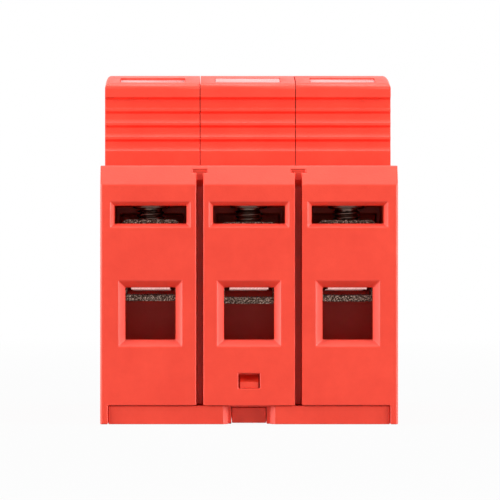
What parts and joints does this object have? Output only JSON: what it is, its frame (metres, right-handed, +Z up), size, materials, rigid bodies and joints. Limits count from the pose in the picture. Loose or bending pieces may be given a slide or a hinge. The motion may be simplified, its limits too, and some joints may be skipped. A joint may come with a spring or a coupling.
{
  "type": "din rail surge arrester",
  "caption": "Red rail-mounted surge arrester: plug-in cartridges with status windows in a U-shaped base with lift-cage screw terminals, fork slots and a sprung rail latch.",
  "frame": {"origin": "bottom centre of the base, on its rail side", "axes": "+X across the poles, +Y from the front terminals to the rear ones, +Z up from the rail"},
  "size_m": [0.054, 0.09, 0.0652],
  "materials": {
    "red_plastic": "fine satin moulding",
    "window_plastic": "clear moulding",
    "flag_plastic": "green moulding",
    "varistor_coat": "epoxy coated block",
    "zinc_steel": "bright zinc plate",
    "spring_steel": "drawn wire",
    "tinned_copper": "tin plated copper strip",
    "bronze": "rolled spring bronze"
  },
  "bodies": {
    "base": {"base_housing": "red_plastic", "base_plate": "red_plastic", "latch_spring": "spring_steel", "contact_strap_front_1": "tinned_copper", "socket_clip_front_1": "bronze", "contact_strap_front_2": "tinned_copper", "socket_clip_front_2": "bronze", "contact_strap_front_3": "tinned_copper", "socket_clip_front_3": "bronze", "contact_strap_rear_1": "tinned_copper", "socket_clip_rear_1": "bronze", "contact_strap_rear_2": "tinned_copper", "socket_clip_rear_2": "bronze", "contact_strap_rear_3": "tinned_copper", "socket_clip_rear_3": "bronze"},
    "latch": {"rail_latch": "red_plastic"},
    "screw_front_1": {"terminal_screw_front_1": "zinc_steel"},
    "cage_front_1": {"clamp_cage_front_1": "zinc_steel"},
    "screw_front_2": {"terminal_screw_front_2": "zinc_steel"},
    "cage_front_2": {"clamp_cage_front_2": "zinc_steel"},
    "screw_front_3": {"terminal_screw_front_3": "zinc_steel"},
    "cage_front_3": {"clamp_cage_front_3": "zinc_steel"},
    "screw_rear_1": {"terminal_screw_rear_1": "zinc_steel"},
    "cage_rear_1": {"clamp_cage_rear_1": "zinc_steel"},
    "screw_rear_2": {"terminal_screw_rear_2": "zinc_steel"},
    "cage_rear_2": {"clamp_cage_rear_2": "zinc_steel"},
    "screw_rear_3": {"terminal_screw_rear_3": "zinc_steel"},
    "cage_rear_3": {"clamp_cage_rear_3": "zinc_steel"},
    "cartridge_1": {"cartridge_shell_1": "red_plastic", "cartridge_floor_1": "red_plastic", "status_window_1": "window_plastic", "varistor_1": "varistor_coat", "blade_front_1": "tinned_copper", "blade_rear_1": "tinned_copper", "trip_spring_1": "spring_steel"},
    "flag_1": {"trip_flag_1": "flag_plastic"},
    "cartridge_2": {"cartridge_shell_2": "red_plastic", "cartridge_floor_2": "red_plastic", "status_window_2": "window_plastic", "varistor_2": "varistor_coat", "blade_front_2": "tinned_copper", "blade_rear_2": "tinned_copper", "trip_spring_2": "spring_steel"},
    "flag_2": {"trip_flag_2": "flag_plastic"},
    "cartridge_3": {"cartridge_shell_3": "red_plastic", "cartridge_floor_3": "red_plastic", "status_window_3": "window_plastic", "varistor_3": "varistor_coat", "blade_front_3": "tinned_copper", "blade_rear_3": "tinned_copper", "trip_spring_3": "spring_steel"},
    "flag_3": {"trip_flag_3": "flag_plastic"}
  },
  "joints": [
    {"name": "latch_slide", "type": "slide", "parent": "base", "child": "latch", "axis": [0, -1, 0], "range_m": [0, 0.004], "stiffness_N_per_m": 600, "springref_m": -0.004, "deforming": ["latch_spring"]},
    {"name": "cartridge_pull_1", "type": "slide", "parent": "base", "child": "cartridge_1", "axis": [0, 0, 1], "range_m": [0, 0.045]},
    {"name": "flag_trip_1", "type": "slide", "parent": "cartridge_1", "child": "flag_1", "axis": [0, 1, 0], "range_m": [0, 0.009], "deforming": ["trip_spring_1"]},
    {"name": "cartridge_pull_2", "type": "slide", "parent": "base", "child": "cartridge_2", "axis": [0, 0, 1], "range_m": [0, 0.045]},
    {"name": "flag_trip_2", "type": "slide", "parent": "cartridge_2", "child": "flag_2", "axis": [0, 1, 0], "range_m": [0, 0.009], "deforming": ["trip_spring_2"]},
    {"name": "cartridge_pull_3", "type": "slide", "parent": "base", "child": "cartridge_3", "axis": [0, 0, 1], "range_m": [0, 0.045]},
    {"name": "flag_trip_3", "type": "slide", "parent": "cartridge_3", "child": "flag_3", "axis": [0, 1, 0], "range_m": [0, 0.009], "deforming": ["trip_spring_3"]},
    {"name": "cage_lift_front_1", "type": "slide", "parent": "base", "child": "cage_front_1", "axis": [0, 0, 1], "range_m": [-0.0082, 0.0007]},
    {"name": "screw_turn_front_1", "type": "hinge", "parent": "base", "child": "screw_front_1", "pos_m": [-0.0179, -0.0374, 0.04], "axis": [0, 0, 1], "range_deg": [-317, 3692]},
    {"name": "cage_lift_front_2", "type": "slide", "parent": "base", "child": "cage_front_2", "axis": [0, 0, 1], "range_m": [-0.0077, 0.0012]},
    {"name": "screw_turn_front_2", "type": "hinge", "parent": "base", "child": "screw_front_2", "pos_m": [0, -0.0374, 0.04], "axis": [0, 0, 1], "range_deg": [-542, 3467]},
    {"name": "cage_lift_front_3", "type": "slide", "parent": "base", "child": "cage_front_3", "axis": [0, 0, 1], "range_m": [-0.0081, 0.0008]},
    {"name": "screw_turn_front_3", "type": "hinge", "parent": "base", "child": "screw_front_3", "pos_m": [0.0179, -0.0374, 0.04], "axis": [0, 0, 1], "range_deg": [-362, 3647]},
    {"name": "cage_lift_rear_1", "type": "slide", "parent": "base", "child": "cage_rear_1", "axis": [0, 0, 1], "range_m": [-0.0079, 0.001]},
    {"name": "screw_turn_rear_1", "type": "hinge", "parent": "base", "child": "screw_rear_1", "pos_m": [-0.0179, 0.0374, 0.04], "axis": [0, 0, 1], "range_deg": [-452, 3557]},
    {"name": "cage_lift_rear_2", "type": "slide", "parent": "base", "child": "cage_rear_2", "axis": [0, 0, 1], "range_m": [-0.0081, 0.0008]},
    {"name": "screw_turn_rear_2", "type": "hinge", "parent": "base", "child": "screw_rear_2", "pos_m": [0, 0.0374, 0.04], "axis": [0, 0, 1], "range_deg": [-362, 3647]},
    {"name": "cage_lift_rear_3", "type": "slide", "parent": "base", "child": "cage_rear_3", "axis": [0, 0, 1], "range_m": [-0.0078, 0.0011]},
    {"name": "screw_turn_rear_3", "type": "hinge", "parent": "base", "child": "screw_rear_3", "pos_m": [0.0179, 0.0374, 0.04], "axis": [0, 0, 1], "range_deg": [-497, 3512]}
  ],
  "couplings": [
    {"joint": "screw_turn_front_1", "follows": "cage_lift_front_1", "rad_per_m": -7854},
    {"joint": "screw_turn_front_2", "follows": "cage_lift_front_2", "rad_per_m": -7854},
    {"joint": "screw_turn_front_3", "follows": "cage_lift_front_3", "rad_per_m": -7854},
    {"joint": "screw_turn_rear_1", "follows": "cage_lift_rear_1", "rad_per_m": -7854},
    {"joint": "screw_turn_rear_2", "follows": "cage_lift_rear_2", "rad_per_m": -7854},
    {"joint": "screw_turn_rear_3", "follows": "cage_lift_rear_3", "rad_per_m": -7854}
  ]
}
